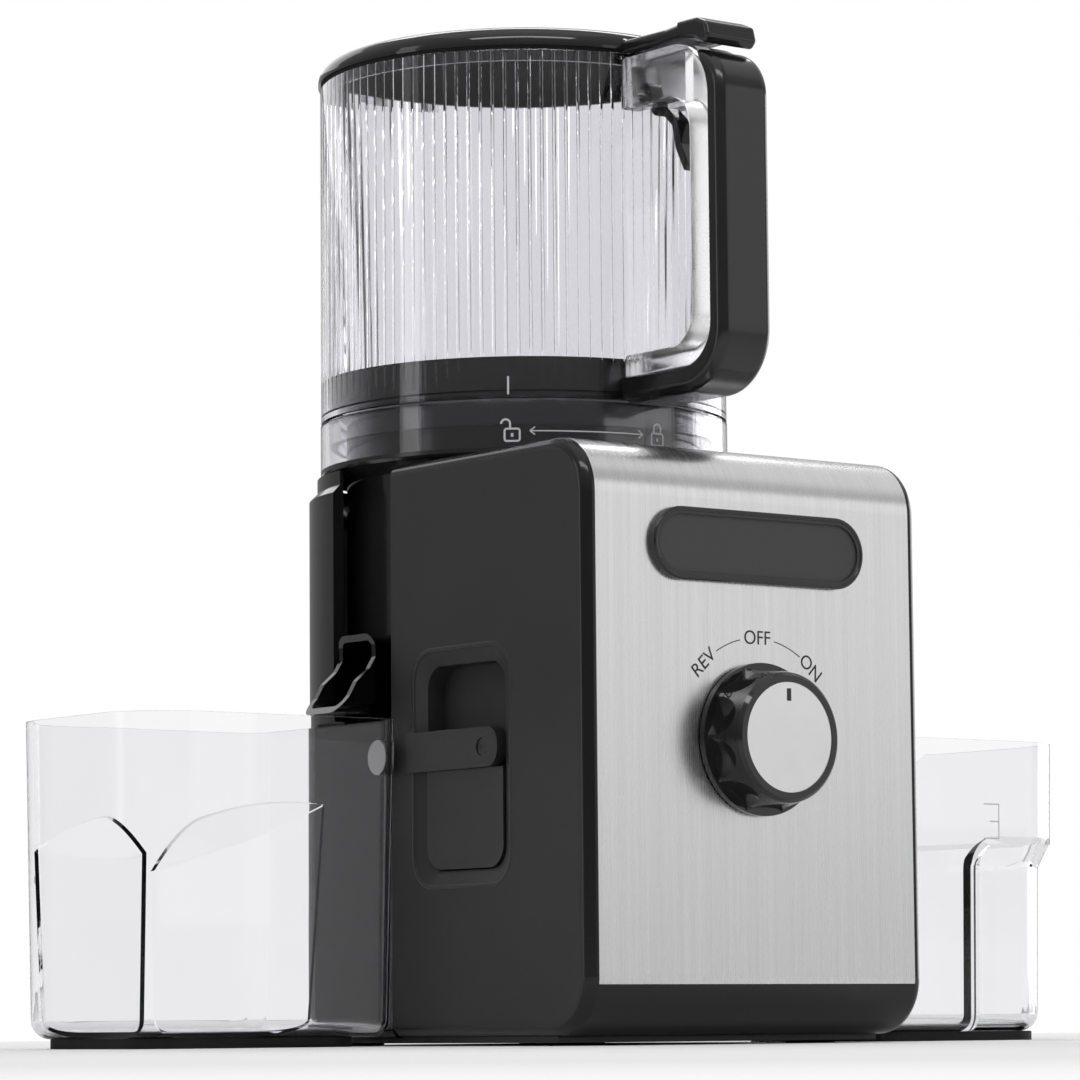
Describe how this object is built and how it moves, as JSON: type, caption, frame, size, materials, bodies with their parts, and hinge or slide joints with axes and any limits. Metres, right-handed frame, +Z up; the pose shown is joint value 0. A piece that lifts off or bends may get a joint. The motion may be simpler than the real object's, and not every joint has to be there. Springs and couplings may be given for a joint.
{
  "type": "vertical slow juicer",
  "caption": "Upright slow juicer with a clear lidded hopper, side handle, steel front with a turn dial, and clear containers for pulp and juice.",
  "frame": {"origin": "bottom centre of the whole set on the surface it stands on", "axes": "+Z up, front with the dial towards -Y, pulp side towards -X and juice side towards +X"},
  "size_m": [0.376, 0.238, 0.3645],
  "materials": {
    "side_plastic": "fine matte grain",
    "gloss_black": "polished",
    "panel_steel": "vertical brushing",
    "base_plastic": "satin",
    "rubber": "matte",
    "fastener_steel": "zinc plated",
    "drive_steel": "machined",
    "board_green": "solder mask",
    "component_plastic": "moulded",
    "cap_metal": "satin",
    "blade_steel": "satin",
    "screw_plastic": "satin",
    "smoke_clear": "smoked clear",
    "hopper_clear": "grey tinted clear",
    "cup_clear": "clear"
  },
  "bodies": {
    "housing": {"front_housing": "side_plastic", "rear_housing": "gloss_black", "front_panel": "panel_steel", "badge_plate": "gloss_black", "bottom_cover": "base_plastic", "rubber_feet": "rubber", "cover_screws": "fastener_steel", "dock_bracket_left": "base_plastic", "dock_bracket_right": "base_plastic", "dock_screws": "fastener_steel", "cord_gland": "rubber", "motor_can": "drive_steel", "motor_end_cap": "base_plastic", "motor_plate": "drive_steel", "plate_screws": "fastener_steel", "rotary_switch": "base_plastic", "switch_nut": "fastener_steel", "control_board": "board_green", "board_components": "component_plastic", "lower_bearing": "fastener_steel", "upper_bearing": "fastener_steel", "shaft_seal": "rubber"},
    "dial": {"knob_skirt": "gloss_black", "knob_cap": "cap_metal", "knob_spindle": "fastener_steel"},
    "drive": {"drive_gear": "drive_steel", "drive_shaft": "drive_steel"},
    "pinion": {"motor_pinion": "drive_steel", "motor_shaft": "fastener_steel"},
    "drum": {"juicing_drum": "gloss_black", "drum_collar": "hopper_clear", "pulp_spout": "smoke_clear", "juice_spout": "smoke_clear", "strainer_frame": "base_plastic", "strainer_mesh": "blade_steel", "hub_seal": "rubber", "pulp_plug": "rubber"},
    "screw": {"juicing_screw": "screw_plastic", "feed_head": "screw_plastic", "feed_blade": "blade_steel"},
    "hopper": {"hopper": "hopper_clear", "hopper_floor": "base_plastic", "handle_frame": "hopper_clear", "handle_grip": "gloss_black", "lever_pin": "fastener_steel", "lid_hinge_pin": "fastener_steel"},
    "lid": {"lid": "gloss_black", "lid_gasket": "rubber"},
    "lever": {"release_lever": "gloss_black"},
    "pulp_cup": {"pulp_container": "cup_clear", "pulp_foot_ring": "rubber", "pulp_keeper_disc": "cap_metal"},
    "juice_cup": {"juice_container": "cup_clear", "juice_foot_ring": "rubber", "juice_keeper_disc": "cap_metal"}
  },
  "joints": [
    {"name": "dial_turn", "type": "hinge", "parent": "housing", "child": "dial", "pos_m": [0, -0.102, 0.1045], "axis": [0, 1, 0], "range_deg": [-43, 43]},
    {"name": "drive_spin", "type": "hinge", "parent": "housing", "child": "drive", "pos_m": [0, 0.032, 0.06], "axis": [0, 0, 1], "continuous": true},
    {"name": "pinion_spin", "type": "hinge", "parent": "housing", "child": "pinion", "pos_m": [0, -0.04, 0.026], "axis": [0, 0, 1], "continuous": true},
    {"name": "drum_lift", "type": "slide", "parent": "housing", "child": "drum", "axis": [0, 0, 1], "range_m": [0, 0.12]},
    {"name": "screw_spin", "type": "hinge", "parent": "drum", "child": "screw", "pos_m": [0, 0.032, 0.17], "axis": [0, 0, 1], "continuous": true},
    {"name": "hopper_unlock", "type": "hinge", "parent": "drum", "child": "hopper", "pos_m": [0, 0.032, 0.229], "axis": [0, 0, -1], "range_deg": [0, 40]},
    {"name": "lid_open", "type": "hinge", "parent": "hopper", "child": "lid", "pos_m": [0, 0.115, 0.36], "axis": [-1, 0, 0], "range_deg": [0, 100]},
    {"name": "lever_pull", "type": "hinge", "parent": "hopper", "child": "lever", "pos_m": [0, -0.05, 0.34], "axis": [-1, 0, 0], "range_deg": [0, 8], "stiffness_Nm_per_rad": 0.05},
    {"name": "pulp_container_out", "type": "slide", "parent": "housing", "child": "pulp_cup", "axis": [-1, 0, 0], "range_m": [0, 0.08]},
    {"name": "juice_container_out", "type": "slide", "parent": "housing", "child": "juice_cup", "axis": [1, 0, 0], "range_m": [0, 0.08]}
  ],
  "couplings": [
    {"joint": "pinion_spin", "follows": "drive_spin", "ratio": -3},
    {"joint": "screw_spin", "follows": "drive_spin", "ratio": 1}
  ]
}
